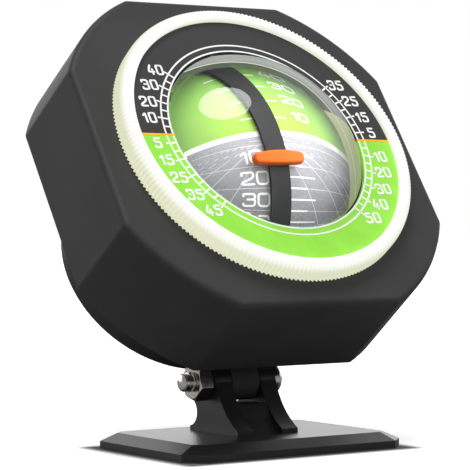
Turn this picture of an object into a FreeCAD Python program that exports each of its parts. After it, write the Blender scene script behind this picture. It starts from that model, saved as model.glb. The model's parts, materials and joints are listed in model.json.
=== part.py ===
import FreeCAD, Part
import math
import os
import re
import Sketcher

# Dashboard ball inclinometer, in millimetres. +Z is up, X runs along the pivot bolt and the dial
# looks towards -Y, leaning back. The origin is under the middle of the foot.
# The housing's pieces are drawn in the dial's own axes: X to the right, Y up the dial and Z out of
# it, with zero on the printed surface. The ball's pieces use the same axes about the ball's centre.

doc = FreeCAD.newDocument("Inclinometer")
sheet = doc.addObject("Spreadsheet::Sheet", "Sizes")

sizes = {
    # how the housing stands
    "faceTilt": 35, "lugDrop": 9.016, "lugInset": 10.677,
    # foot
    "plateLength": 59, "plateDepth": 44.5, "plateCorner": 4.3, "plateBevel": 3.8, "plateRim": 1.6,
    "plateRise": 1.8, "padProud": 0.3, "padSunk": 0.8, "padMargin": 4,
    # ears and web
    "earThick": 4.3, "earGap": 7.9, "earRound": 4.6, "footStep": 1.0, "footFront": 7.6, "footBack": 12.8,
    "waistHeight": 7.1, "waistFront": 4.1, "waistBack": 9.85, "shoulderHeight": 11.0, "shoulderBack": 12.0,
    "webHeight": 10.2, "webInset": 1.1,
    # pivot
    "boltY": 6.0, "boltZ": 15.3, "boltRadius": 2.45, "boltPlay": 0.06, "headRadius": 3.8, "headHigh": 3.1,
    "headRound": 1.5, "driveAcross": 1.0, "driveLong": 4.6, "driveDeep": 1.4,
    "nutAcross": 7.8, "nutHigh": 3.8, "nutChamfer": 0.4, "threadBeyond": 2.8, "threadChamfer": 0.6,
    # hood
    "hoodMargin": 5.6, "hoodBulge": 4.9, "hoodSet": 3.6, "hoodDepth": 24.8, "hoodDraft": 1.6, "hoodWall": 2.2,
    "hoodFace": 2.6, "hoodEdge": 1.4, "hoodVertex": 2.0, "postInset": 13.4, "postRadius": 3.2,
    # rear housing
    "backFit": 0.15, "backPlate": 2.5, "cupGap": 0.8, "cupWall": 2.2, "capGap": 0.3, "cupEdge": 0.9,
    "lugSide": 0.25, "lugRound": 4.7, "screwRadius": 1.4, "screwLong": 10,
    "screwHead": 2.8, "screwHeadHigh": 1.8, "screwCrown": 0.5, "screwSlot": 0.7, "screwTip": 0.5,
    # bezel and dial
    "bezelWall": 3.3, "dialSeat": 1.7, "bezelRise": 1.7, "bezelLip": 1.2, "bezelRound": 2.3,
    "bezelGap": 0.3, "skirtGap": 0.8, "skirtWall": 2.74, "skirtFit": 0.06, "snapHigh": 1.9, "snapOut": 0.9,
    "dialGap": 0.4, "dialThick": 1.0, "dialFit": 0.05, "waveHigh": 0.3, "waveStart": 0.3, "waveWide": 1.6,
    # capsule
    "boreStep": 0.7, "domeSag": 12.5, "domeWall": 1.5, "domeDrop": 0.5, "flangeTop": 9.2, "flangeHigh": 1.6,
    "flangeEdge": 2.1, "sealStep": 2.3, "sealHalf": 0.9, "sealHigh": 1.6, "sealBulge": 0.3,
    "sealFit": 0.1, "clampHigh": 1.4, "clampGap": 0.7, "clampScrewStep": 3.3, "clampScrewRadius": 0.9,
    "clampScrewLong": 7.0, "clampHeadRadius": 1.7, "clampHeadHigh": 1.1, "clampCrown": 0.3, "clampSlot": 0.45,
    "bowlGap": 0.65, "bowlWall": 1.7, "bowlFlange": 2.4,
    "bossRadius": 4.4, "bossHigh": 1.8, "capHigh": 0.6, "capSpigot": 0.4,
    "bushRadius": 2.4, "bushStep": 0.1, "bushLong": 1.9,
    "plugTurn": 35, "plugRadius": 2.0, "plugSeat": 0.7, "plugSeatRadius": 3.8, "plugFlange": 3.2,
    "plugHigh": 1.0, "plugSlot": 0.6,
    # gimbal
    "ballGap": 0.4, "ringHalf": 1.9, "ringDepth": 1.35, "bandThick": 0.5, "bandWide": 4.3,
    "armThick": 1.2, "armWide": 4.0, "hubRadius": 3.4, "hubHigh": 1.4,
    "spindleRadius": 1.0, "spindleFit": 0.03, "spindleBeyond": 0.2, "shoulderRadius": 1.6, "endPlay": 0.1,
    "clipRadius": 1.9, "clipThick": 0.5, "clipGap": 0.9,
    "pointerDrop": 13.4, "pointerHalf": 5.4, "pointerHigh": 2.8, "pointerTip": 2.0, "pointerBulge": 0.4,
    "pointerEnd": 0.6, "pointerThick": 1.4, "pointerLift": 0.2, "pointerRound": 0.45,
    "pitchBushRadius": 1.35, "pitchBushGap": 0.3, "pitchBushFloor": 0.2,
    # ball
    "ballRadius": 21.3, "ballSunk": 3.1, "ballWall": 1.2, "horizonRise": 0.7, "horizonWide": 1.1,
    "horizonDeep": 2.2, "axleRadius": 0.8, "axleFit": 0.03, "axleEnd": 0.15,
    "ballastRadius": 7.0, "ballastThick": 3.6,
    # what fits tight, and how far a cut runs past what it cuts
    "closeFit": 0.02, "overrun": 1.0,
}

# what follows from the sizes above, from the ball outwards, as the sheet's own formulas
derived = {
    "gimbalBore": "ballRadius + ballGap",
    "pitchBushStart": "ballRadius + pitchBushGap",
    "ringOuter": "gimbalBore + ringDepth",
    "hubBack": "gimbalBore + hubHigh",
    "bowlRadius": "ringOuter + bowlGap",
    "bushDeep": "bowlRadius + bushStep",
    "spindleEnd": "bushDeep + bushLong + endPlay + clipThick + spindleBeyond",
    "bossDeep": "bowlRadius + bowlWall + bossHigh",
    "ballDeep": "ballRadius + ballSunk",
    "domeBase": "bowlRadius - boreStep + domeWall",
    "dialBore": "domeBase + dialGap",
    "clampBore": "domeBase + clampGap",
    "sealRadius": "bowlRadius + sealStep",
    "clampScrewCircle": "sealRadius + clampScrewStep",
    "flangeRadius": "clampScrewCircle + flangeEdge",
    "collarTop": "flangeTop + flangeHigh + bowlFlange",
    "skirtBore": "flangeRadius + skirtGap",
    "skirtDeep": "hoodSet + hoodFace + waveHigh + snapHigh",
    "hoodBore": "skirtBore + skirtWall + skirtFit",
    "bezelBore": "skirtBore + dialSeat",
    "bezelRadius": "bezelBore + bezelWall",
    "hoodHalf": "bezelRadius + hoodMargin",
    "hoodRound": "hoodHalf + hoodBulge",
    "postPlace": "hoodHalf - postInset",
    "cupRadius": "bowlRadius + bowlWall + cupGap + cupWall",
    "cupBack": "ballDeep + bossDeep + capHigh + capGap + cupWall",
    "dialY": "boltY + (cupRadius + lugDrop) * sin(faceTilt) - (cupBack - lugInset) * cos(faceTilt)",
    "dialZ": "boltZ + (cupRadius + lugDrop) * cos(faceTilt) + (cupBack - lugInset) * sin(faceTilt)",
}
rows = {name: str(number) for name, number in sizes.items()}
rows.update((name, "=" + formula) for name, formula in derived.items())
for row, (name, entry) in enumerate(rows.items(), start=1):
    sheet.set(f"A{row}", name)
    sheet.set(f"B{row}", entry)
    sheet.setAlias(f"B{row}", name)
doc.recompute()


def bound(text):
    """The expression with every size's name turned into a reference to the sheet."""
    return re.sub(r"\b[A-Za-z]\w*", lambda word: ("Sizes." if word[0] in rows else "") + word[0], text)


def value(text):
    """The expression's number, for where drawn geometry starts before its constraints settle it."""
    result = doc.getObject("Sizes").evalExpression(bound(text))
    return float(getattr(result, "Value", result))


def bind(item, **expressions):
    for prop, text in expressions.items():
        item.setExpression(prop.replace("__", "."), bound(text))


pieces = []

# a turn about X, whose angle an expression then sets
aboutX = FreeCAD.Placement(FreeCAD.Vector(), FreeCAD.Rotation(FreeCAD.Vector(1, 0, 0), 1))
ballY = "dialY + ballDeep * cos(faceTilt)"
ballZ = "dialZ - ballDeep * sin(faceTilt)"


def placed(item, label, where="foot", turn="90 - faceTilt"):
    """Name a finished piece and set its own axes: the foot's, the dial's or the ball's."""
    item.Label = label
    if where != "foot":
        item.Placement = aboutX
        bind(item, Placement__Rotation__Angle=turn)
        placeY, placeZ = ("dialY", "dialZ") if where == "dial" else (ballY, ballZ)
        bind(item, Placement__Base__y=placeY, Placement__Base__z=placeZ)
    pieces.append(item)
    return item


def settle(feature):
    """Recompute, and stop where the newest feature has failed."""
    doc.recompute()
    if "Invalid" in feature.State or feature.Shape.isNull() or not feature.Shape.isValid():
        raise RuntimeError(f"{feature.Name} of {feature.getParent().Name} failed")
    return feature


def bodyOf(name):
    return doc.addObject("PartDesign::Body", name)


def sketchOn(body, name, plane="XY_Plane", height="0"):
    sketch = body.newObject("Sketcher::SketchObject", name)
    origin = [item for item in body.Origin.OriginFeatures if item.Role == plane][0]
    sketch.AttachmentSupport = (origin, [""])
    sketch.MapMode = "FlatFace"
    bind(sketch, AttachmentOffset__Base__z=height)
    return sketch


def fixPoint(sketch, geometry, end, x, y):
    """Tie one end of a line or arc to the sketch's origin by two bound distances."""
    for kind, text in (("DistanceX", x), ("DistanceY", y)):
        index = sketch.addConstraint(Sketcher.Constraint(kind, -1, 1, geometry, end, value(text)))
        sketch.setExpression(f"Constraints[{index}]", bound(text))


def drawLoop(sketch, corners):
    """Closed outline. A corner is (x, y) or (x, y, "round", middle x, middle y): the edge that
    leaves such a corner is an arc through the middle point."""
    first = sketch.GeometryCount
    count = len(corners)
    for index, corner in enumerate(corners):
        following = corners[(index + 1) % count]
        start = FreeCAD.Vector(value(corner[0]), value(corner[1]), 0)
        stop = FreeCAD.Vector(value(following[0]), value(following[1]), 0)
        if len(corner) > 2:
            middle = FreeCAD.Vector(value(corner[3]), value(corner[4]), 0)
            sketch.addGeometry(Part.Arc(start, middle, stop), False)
        else:
            sketch.addGeometry(Part.LineSegment(start, stop), False)
    for index, corner in enumerate(corners):
        edge = first + index
        before = first + (index - 1) % count
        startEnd, stopEnd = arcEnds(sketch, edge, corner)
        beforeStop = arcEnds(sketch, before, corners[index - 1])[1]
        sketch.addConstraint(Sketcher.Constraint("Coincident", before, beforeStop, edge, startEnd))
        fixPoint(sketch, edge, startEnd, corner[0], corner[1])
    for index, corner in enumerate(corners):
        if len(corner) > 2:
            holdMiddle(sketch, first + index, corner[3], corner[4])


def arcEnds(sketch, edge, corner):
    """Which end numbers of an edge are its start and stop: an arc always runs anticlockwise."""
    if len(corner) == 2:
        return 1, 2
    start = FreeCAD.Vector(value(corner[0]), value(corner[1]), 0)
    near = sketch.getPoint(edge, 1).distanceToPoint(start) < sketch.getPoint(edge, 2).distanceToPoint(start)
    return (1, 2) if near else (2, 1)


def holdMiddle(sketch, edge, x, y):
    """Hold an arc to a third named point between its ends."""
    point = sketch.addGeometry(Part.Point(FreeCAD.Vector(value(x), value(y), 0)), True)
    fixPoint(sketch, point, 1, x, y)
    sketch.addConstraint(Sketcher.Constraint("PointOnObject", point, 1, edge))


def drawCircle(sketch, radius, x="0", y="0"):
    centre = FreeCAD.Vector(value(x), value(y), 0)
    edge = sketch.addGeometry(Part.Circle(centre, FreeCAD.Vector(0, 0, 1), value(radius)), False)
    index = sketch.addConstraint(Sketcher.Constraint("Radius", edge, value(radius)))
    sketch.setExpression(f"Constraints[{index}]", bound(radius))
    fixPoint(sketch, edge, 3, x, y)


def drawHood(sketch, half, reach):
    """A square whose corners are cut by one circle about the middle."""
    side = f"sqrt(({reach})^2 - ({half})^2)"
    middle = f"({reach}) * sqrt(0.5)"
    corners = []
    for signX, signY in ((1, 1), (-1, 1), (-1, -1), (1, -1)):
        # each rounded corner runs from one flat to the next, anticlockwise
        nearSide = (f"{signX} * ({half})", f"{signY} * {side}")
        nearTop = (f"{signX} * {side}", f"{signY} * ({half})")
        start, stop = (nearSide, nearTop) if signX == signY else (nearTop, nearSide)
        corners.append((*start, "round", f"{signX} * {middle}", f"{signY} * {middle}"))
        corners.append(stop)
    drawLoop(sketch, corners)


def drawBox(sketch, left, low, right, high):
    drawLoop(sketch, [(left, low), (right, low), (right, high), (left, high)])


def pad(body, sketch, length, taper=None, backwards=False, middle=False):
    feature = body.newObject("PartDesign::Pad", "Pad")
    feature.Profile = sketch
    bind(feature, Length=length)
    feature.Reversed = backwards
    feature.Midplane = middle
    if taper:
        bind(feature, TaperAngle=taper)
    return settle(feature)


def pocket(body, sketch, length, backwards=False, taper=None, middle=False):
    before = body.Shape.Volume
    feature = body.newObject("PartDesign::Pocket", "Pocket")
    feature.Profile = sketch
    feature.Reversed = backwards
    feature.Midplane = middle
    bind(feature, Length=length)
    if taper:
        bind(feature, TaperAngle=taper)
    settle(feature)
    if feature.Shape.Volume >= before:
        raise RuntimeError(f"{body.Name}: a pocket cut nothing")
    return feature


def turned(body, sketch, axis="V_Axis", angle="360", backwards=False):
    feature = body.newObject("PartDesign::Revolution", "Revolution")
    feature.Profile = sketch
    feature.ReferenceAxis = (sketch, [axis])
    bind(feature, Angle=angle)
    feature.Reversed = backwards
    return settle(feature)


def turnedPiece(label, where, corners):
    """A piece turned about its own Z axis from an outline of (radius, height) corners."""
    body = bodyOf(label)
    sketch = sketchOn(body, label + "Outline", "XZ_Plane")
    drawLoop(sketch, corners)
    turned(body, sketch)
    return placed(body, label, where)


def spun(body, feature, count, axis="Z_Axis"):
    """Repeat a feature round one of the body's axes."""
    pattern = body.newObject("PartDesign::PolarPattern", "Pattern")
    pattern.Originals = [feature]
    pattern.Axis = ([item for item in body.Origin.OriginFeatures if item.Role == axis][0], [""])
    pattern.Angle = 360
    pattern.Occurrences = count
    body.Tip = pattern
    return settle(pattern)


def rounded(body, radius, chosen):
    """Fillet the edges of the body's last feature that the test picks out."""
    base = body.Tip
    names = [f"Edge{i + 1}" for i, edge in enumerate(base.Shape.Edges) if chosen(edge)]
    feature = body.newObject("PartDesign::Fillet", "Fillet")
    feature.Base = (base, names)
    bind(feature, Radius=radius)
    return settle(feature)


def flatAt(edge, text):
    """True where the whole edge lies at one height."""
    box = edge.BoundBox
    return all(math.isclose(end, value(text), abs_tol=1e-4) for end in (box.ZMin, box.ZMax))


def upright(edge):
    """True where the edge runs straight along Z."""
    return max(edge.BoundBox.XLength, edge.BoundBox.YLength) < value("closeFit")


def groove(body, sketch, axis="V_Axis"):
    """Turn an outline out of the body."""
    before = body.Shape.Volume
    feature = body.newObject("PartDesign::Groove", "Groove")
    feature.Profile = sketch
    feature.ReferenceAxis = (sketch, [axis])
    feature.Angle = 360
    settle(feature)
    if feature.Shape.Volume >= before:
        raise RuntimeError(f"{body.Name}: a groove cut nothing")
    return feature


# Foot


def plateCorners(inset):
    """Rectangle with chamfered corners, drawn in by an inset that keeps the bevel's width even."""
    x = f"(plateLength / 2 - {inset})"
    y = f"(plateDepth / 2 - {inset})"
    cut = f"(plateCorner - {inset} * (2 - sqrt(2)))"
    shortX = f"({x} - {cut})"
    shortY = f"({y} - {cut})"
    return [(x, f"-{shortY}"), (x, shortY), (shortX, y), (f"-{shortX}", y),
            (f"-{x}", shortY), (f"-{x}", f"-{shortY}"), (f"-{shortX}", f"-{y}"), (shortX, f"-{y}")]


plateTop = "padProud + plateRim + plateRise"
earTop = f"{plateTop} + footStep"


def makeBracket():
    body = bodyOf("base_bracket")
    rim = sketchOn(body, "plateRimOutline", height="padProud")
    drawLoop(rim, plateCorners("0"))
    pad(body, rim, "plateRim")
    lower = sketchOn(body, "bevelFoot", height="padProud + plateRim")
    drawLoop(lower, plateCorners("0"))
    upper = sketchOn(body, "bevelTop", height=plateTop)
    drawLoop(upper, plateCorners("plateBevel"))
    bevel = body.newObject("PartDesign::AdditiveLoft", "Bevel")
    bevel.Profile = lower
    bevel.Sections = [upper]
    bevel.Ruled = True
    settle(bevel)

    # the ears' outline, looking along the bolt: a small foot, two hollow flanks and a round top
    topBack = ("boltY + earRound", "boltZ")
    topFront = ("boltY - earRound", "boltZ")
    ears = sketchOn(body, "earOutline", "YZ_Plane")
    outline = [
        ("-footFront", plateTop), ("footBack", plateTop),
        ("footBack", earTop, "round", "waistBack", "waistHeight"),
        ("shoulderBack", "shoulderHeight"),
        (*topBack, "round", "boltY", "boltZ + earRound"),
        (*topFront, "round", "-waistFront", "waistHeight"),
        ("-footFront", earTop),
    ]
    drawLoop(ears, outline)
    pad(body, ears, "earGap + 2 * earThick", middle=True)

    # the gap between the ears, down to the top of the web
    gap = sketchOn(body, "gapOutline", "YZ_Plane")
    drawBox(gap, "-footFront - overrun", "webHeight", "footBack + overrun", "boltZ + earRound + overrun")
    pocket(body, gap, "earGap", middle=True)

    # the web stands back from the ears' flanks, front and rear
    flanks = (("webFront", "-1", "footFront", "waistFront", "webInset / 2"),
              ("webBack", "1", "footBack", "waistBack", "waistBack - webInset / 2"))
    for name, side, far, waist, top in flanks:
        step = sketchOn(body, name, "YZ_Plane")
        drawLoop(step, [
            (f"{side} * ({far} + overrun)", plateTop), (f"{side} * ({far} - webInset)", plateTop),
            (f"{side} * ({waist} - webInset)", "waistHeight"), (f"{side} * ({top})", "webHeight + overrun"),
            (f"{side} * ({far} + overrun)", "webHeight + overrun"),
        ])
        pocket(body, step, "earGap", middle=True)

    hole = sketchOn(body, "boltHole", "YZ_Plane")
    drawCircle(hole, "boltRadius + boltPlay", "boltY", "boltZ")
    pocket(body, hole, "earGap + 2 * earThick + overrun", middle=True)

    recess = sketchOn(body, "padRecess", height="padProud")
    drawLoop(recess, plateCorners("padMargin"))
    pocket(body, recess, "padSunk", backwards=True)
    placed(body, "base_bracket", "foot")


def makePad():
    body = bodyOf("adhesive_pad")
    sketch = sketchOn(body, "padOutline")
    drawLoop(sketch, plateCorners("padMargin"))
    pad(body, sketch, "padProud + padSunk")
    placed(body, "adhesive_pad", "foot")


def alongBolt(body, name, x):
    """A sketch square to the bolt at a distance along it."""
    return sketchOn(body, name, "YZ_Plane", x)


def makeBolt():
    outer = "earGap / 2 + earThick"
    body = bodyOf("pivot_bolt")
    sketch = sketchOn(body, "boltOutline", "XY_Plane")
    tip = f"-({outer} + nutHigh + threadBeyond)"
    head = f"({outer} + headHigh)"
    dip = "headRound * (1 - sqrt(0.5))"
    drawLoop(sketch, [
        (tip, "0"), (head, "0"),
        (head, "headRadius - headRound", "round", f"{head} - {dip}", f"headRadius - {dip}"),
        (f"{head} - headRound", "headRadius"),
        (outer, "headRadius"), (outer, "boltRadius"),
        (f"{tip} + threadChamfer", "boltRadius"), (tip, "boltRadius - threadChamfer"),
    ])
    turned(body, sketch, "H_Axis")
    for wide, tall in (("driveLong", "driveAcross"), ("driveAcross", "driveLong")):
        slot = alongBolt(body, wide + "Slot", head)
        drawBox(slot, f"-{wide} / 2", f"-{tall} / 2", f"{wide} / 2", f"{tall} / 2")
        pocket(body, slot, "driveDeep")
    body.Label = "pivot_bolt"
    bind(body, Placement__Base__y="boltY", Placement__Base__z="boltZ")
    pieces.append(body)


def makeNut():
    outer = "earGap / 2 + earThick"
    body = bodyOf("pivot_nut")
    sketch = alongBolt(body, "nutOutline", f"-({outer} + nutHigh)")
    reach = "nutAcross / sqrt(3)"
    drawLoop(sketch, [(f"{reach} * cos({turn})", f"{reach} * sin({turn})") for turn in range(15, 375, 60)])
    drawCircle(sketch, "boltRadius")
    pad(body, sketch, "nutHigh")
    # both faces are chamfered by a cone
    for face, inwards in ((f"-({outer} + nutHigh)", "1"), (f"-({outer})", "-1")):
        cone = sketchOn(body, "nutCone", "XY_Plane")
        drawLoop(cone, [(face, "nutAcross / 2 - nutChamfer / 4"), (face, "nutAcross / 2 + overrun"),
                        (f"{face} + {inwards} * nutChamfer", "nutAcross / 2 + overrun"),
                        (f"{face} + {inwards} * nutChamfer", f"{reach}")])
        groove(body, cone, "H_Axis")
    body.Label = "pivot_nut"
    bind(body, Placement__Base__y="boltY", Placement__Base__z="boltZ")
    pieces.append(body)


# Hood and rear housing

hoodGrow = "hoodDepth * tan(hoodDraft)"
backEdge = "(hoodSet + hoodDepth)"
postCorners = ((1, 1), (-1, 1), (-1, -1), (1, -1))


def makeHood():
    body = bodyOf("front_hood")
    outline = sketchOn(body, "hoodOutline", height="-hoodSet")
    drawHood(outline, "hoodHalf", "hoodRound")
    pad(body, outline, "hoodDepth", taper="hoodDraft", backwards=True)
    rounded(body, "hoodVertex", lambda edge: edge.BoundBox.ZLength > value("hoodDepth / 2"))
    rounded(body, "hoodEdge", lambda edge: flatAt(edge, "-hoodSet"))
    cavity = sketchOn(body, "cavityOutline", height=f"-{backEdge}")
    drawHood(cavity, f"hoodHalf + {hoodGrow} - hoodWall", f"hoodRound + {hoodGrow} - hoodWall")
    pocket(body, cavity, "hoodDepth - hoodFace", taper="-hoodDraft", backwards=True)
    bore = sketchOn(body, "bezelBoreOutline", height="-hoodSet")
    drawCircle(bore, "hoodBore")
    pocket(body, bore, "hoodFace + overrun")
    for number, (sideX, sideY) in enumerate(postCorners, start=1):
        post = sketchOn(body, f"post{number}", height="-hoodSet - hoodFace")
        drawCircle(post, "postRadius", f"{sideX} * postPlace", f"{sideY} * postPlace")
        pad(body, post, "hoodDepth - hoodFace - backPlate", backwards=True)
        drill = sketchOn(body, f"postHole{number}", height=f"-{backEdge} + backPlate")
        drawCircle(drill, "screwRadius", f"{sideX} * postPlace", f"{sideY} * postPlace")
        pocket(body, drill, "screwLong - backPlate + screwTip", backwards=True)
    placed(body, "front_hood", "dial")


# the bolt's place in the dial's axes
lugY = "-(cupRadius + lugDrop)"
lugZ = "(lugInset - cupBack)"


def makeRear():
    body = bodyOf("rear_housing")
    plate = sketchOn(body, "backOutline", height=f"-{backEdge}")
    inset = f"{hoodGrow} - hoodWall - backFit - backPlate * tan(hoodDraft)"
    drawHood(plate, f"hoodHalf + {inset}", f"hoodRound + {inset}")
    pad(body, plate, "backPlate")
    cup = sketchOn(body, "cupOutline", height="-cupBack")
    drawCircle(cup, "cupRadius")
    pad(body, cup, "cupBack - collarTop")
    flange = sketchOn(body, "collarOutline", height="-collarTop")
    drawCircle(flange, "flangeRadius")
    pad(body, flange, "backPlate", backwards=True)

    # the lug reaches from the cup's wall down round the bolt
    lug = sketchOn(body, "lugOutline", "YZ_Plane")
    rootY = "-cupRadius + cupWall / 2"
    drawLoop(lug, [
        (rootY, f"{lugZ} - lugRound"),
        (lugY, f"{lugZ} - lugRound", "round", f"{lugY} - lugRound", lugZ),
        (lugY, f"{lugZ} + lugRound"),
        (rootY, f"{lugZ} + lugRound"),
    ])
    pad(body, lug, "earGap - 2 * lugSide", middle=True)

    hollow = sketchOn(body, "cupHollow", height="-collarTop")
    drawCircle(hollow, "cupRadius - cupWall")
    pocket(body, hollow, "cupBack - collarTop - cupWall")
    hole = sketchOn(body, "lugHole", "YZ_Plane")
    drawCircle(hole, "boltRadius + boltPlay", lugY, lugZ)
    pocket(body, hole, "earGap", middle=True)
    for number, (sideX, sideY) in enumerate(postCorners, start=1):
        drill = sketchOn(body, f"screwHole{number}", height=f"-{backEdge}")
        drawCircle(drill, "screwRadius", f"{sideX} * postPlace", f"{sideY} * postPlace")
        pocket(body, drill, "backPlate", backwards=True)
    tap = sketchOn(body, "clampHole", height="-collarTop")
    drawCircle(tap, "clampScrewRadius", "0", "clampScrewCircle")
    spun(body, pocket(body, tap, "backPlate"), 6)
    rounded(body, "cupEdge", lambda edge: flatAt(edge, "-cupBack"))
    placed(body, "rear_housing", "dial")


def screwGroup(label, seat, outward, places, head, high, crown, radius, length, slot):
    """Equal screws along the dial's axis. Outward is 1 where the heads face the viewer, or -1."""
    screws = []
    for number, (x, y) in enumerate(places, start=1):
        body = bodyOf(f"{label}{number}")
        sketch = sketchOn(body, f"{label}Outline{number}", "XZ_Plane")
        top = f"{outward} * {high}"
        shank = f"{radius} - closeFit"
        drawLoop(sketch, [
            ("0", f"-{outward} * {length}"), (shank, f"-{outward} * {length}"), (shank, "0"), (head, "0"),
            (head, f"{outward} * ({high} - {crown})"), (f"{head} - {crown}", top), ("0", top),
        ])
        turned(body, sketch)
        cut = sketchOn(body, f"{label}Slot{number}", height=top)
        drawBox(cut, f"-{head} - overrun", f"-{slot} / 2", f"{head} + overrun", f"{slot} / 2")
        pocket(body, cut, f"{high} / 2", backwards=outward < 0)
        bind(body, Placement__Base__x=x, Placement__Base__y=y, Placement__Base__z=seat)
        screws.append(body)
    return grouped(label, screws)


def grouped(label, bodies, where="dial"):
    group = doc.addObject("Part::Compound", label)
    group.Links = bodies
    return placed(group, label, where)


def makeCaseScrews():
    places = [(f"{sideX} * postPlace", f"{sideY} * postPlace") for sideX, sideY in postCorners]
    screwGroup("case_screws", f"-{backEdge}", -1, places, "screwHead", "screwHeadHigh", "screwCrown",
               "screwRadius", "screwLong", "screwSlot")


def makeBezel():
    face = "-hoodSet"
    turnedPiece("bezel_ring", "dial", [
        ("bezelRadius", f"{face} + bezelGap"),
        ("bezelRadius", "bezelRise - bezelRound", "round",
         "bezelRadius - bezelRound * (1 - sqrt(0.5))", "bezelRise - bezelRound * (1 - sqrt(0.5))"),
        ("bezelRadius - bezelRound", "bezelRise"),
        ("bezelBore", "bezelLip"),
        ("bezelBore", "-dialThick"),
        ("skirtBore", "-dialThick"),
        ("skirtBore", "-skirtDeep"),
        ("hoodBore - skirtFit", "-skirtDeep"),
        ("hoodBore + snapOut", "-skirtDeep + snapOut / 2"),
        ("hoodBore + snapOut", f"{face} - hoodFace - waveHigh"),
        ("hoodBore - skirtFit", f"{face} - hoodFace - waveHigh"),
        ("hoodBore - skirtFit", f"{face} + bezelGap"),
    ])
    rim = "bezelBore - dialFit"
    low = "-dialThick"
    turnedPiece("dial_ring", "dial", [("dialBore", low), (rim, low), (rim, "0"), ("dialBore", "0")])
    waveTop = f"{face} - hoodFace"
    turnedPiece("wave_ring", "dial", [
        ("hoodBore + waveStart", f"{waveTop} - waveHigh"), ("hoodBore + waveWide", f"{waveTop} - waveHigh"),
        ("hoodBore + waveWide", waveTop), ("hoodBore + waveStart", waveTop)])


# Capsule

lensRadius = "((domeBase^2 + domeSag^2) / (2 * domeSag))"
lensCentre = f"(domeSag - domeDrop - {lensRadius})"


def onLens(radius, wall="0"):
    """Height of the lens's surface at a distance from its axis."""
    return f"{lensCentre} + sqrt(({lensRadius} - {wall})^2 - ({radius})^2)"


def makeDome():
    inner = "domeBase - domeWall"
    body = bodyOf("clear_dome")
    sketch = sketchOn(body, "domeOutline", "XZ_Plane")
    drawLoop(sketch, [
        ("0", onLens("0", "domeWall")),
        ("0", onLens("0"), "round", "domeBase / 2", onLens("domeBase / 2")),
        ("domeBase", "-domeDrop"),
        ("domeBase", "-flangeTop"),
        ("flangeRadius", "-flangeTop"),
        ("flangeRadius", "-flangeTop - flangeHigh"),
        (inner, "-flangeTop - flangeHigh"),
        (inner, onLens(inner, "domeWall"), "round", f"({inner}) / 2", onLens(f"({inner}) / 2", "domeWall")),
    ])
    turned(body, sketch)
    hole = sketchOn(body, "domeHole", height="-flangeTop")
    drawCircle(hole, "clampScrewRadius", "0", "clampScrewCircle")
    spun(body, pocket(body, hole, "flangeHigh"), 6)
    placed(body, "clear_dome", "dial")


bowlTop = "(flangeTop + flangeHigh)"


def leaningSketch(body, name, rise):
    """A sketch square to the filler's own axis, at a distance from the ball's centre."""
    sketch = sketchOn(body, name)
    sketch.AttachmentOffset = aboutX
    bind(sketch, AttachmentOffset__Rotation__Angle="plugTurn",
         AttachmentOffset__Base__y=f"{rise} * sin(plugTurn)",
         AttachmentOffset__Base__z=f"-ballDeep - {rise} * cos(plugTurn)")
    return sketch


def makeBowl():
    outer = "(bowlRadius + bowlWall)"
    body = bodyOf("capsule_bowl")
    sketch = sketchOn(body, "bowlOutline", "XZ_Plane")
    drawLoop(sketch, [
        ("bowlRadius", f"-{bowlTop}"),
        ("flangeRadius", f"-{bowlTop}"),
        ("flangeRadius", "-collarTop"),
        (outer, "-collarTop"),
        (outer, "-ballDeep", "round", f"{outer} * sqrt(0.5)", f"-ballDeep - {outer} * sqrt(0.5)"),
        ("bossRadius", f"-ballDeep - sqrt({outer}^2 - bossRadius^2)"),
        ("bossRadius", "-ballDeep - bossDeep"),
        ("bushRadius", "-ballDeep - bossDeep"),
        ("bushRadius", "-ballDeep - sqrt(bowlRadius^2 - bushRadius^2)", "round",
         "bowlRadius * sqrt(0.5)", "-ballDeep - bowlRadius * sqrt(0.5)"),
        ("bowlRadius", "-ballDeep"),
    ])
    turned(body, sketch)
    # the filler's seat and hole lean away from the axis
    rise = f"({outer} + plugSeat)"
    seat = leaningSketch(body, "fillerSeat", rise)
    drawCircle(seat, "plugSeatRadius")
    pad(body, seat, "plugSeat + bowlWall / 2")
    hole = leaningSketch(body, "fillerHole", rise)
    drawCircle(hole, "plugRadius")
    pocket(body, hole, "plugSeat + 2 * bowlWall", backwards=True)
    seat = sketchOn(body, "sealGroove", "XZ_Plane")
    near = "sealRadius - sealHalf - sealFit"
    far = "sealRadius + sealHalf + sealFit"
    drawBox(seat, near, f"-{bowlTop} - sealHigh", far, f"-{bowlTop} + overrun")
    groove(body, seat)
    hole = sketchOn(body, "bowlHole", height=f"-{bowlTop}")
    drawCircle(hole, "clampScrewRadius", "0", "clampScrewCircle")
    spun(body, pocket(body, hole, f"collarTop - {bowlTop}"), 6)
    placed(body, "capsule_bowl", "dial")


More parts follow.
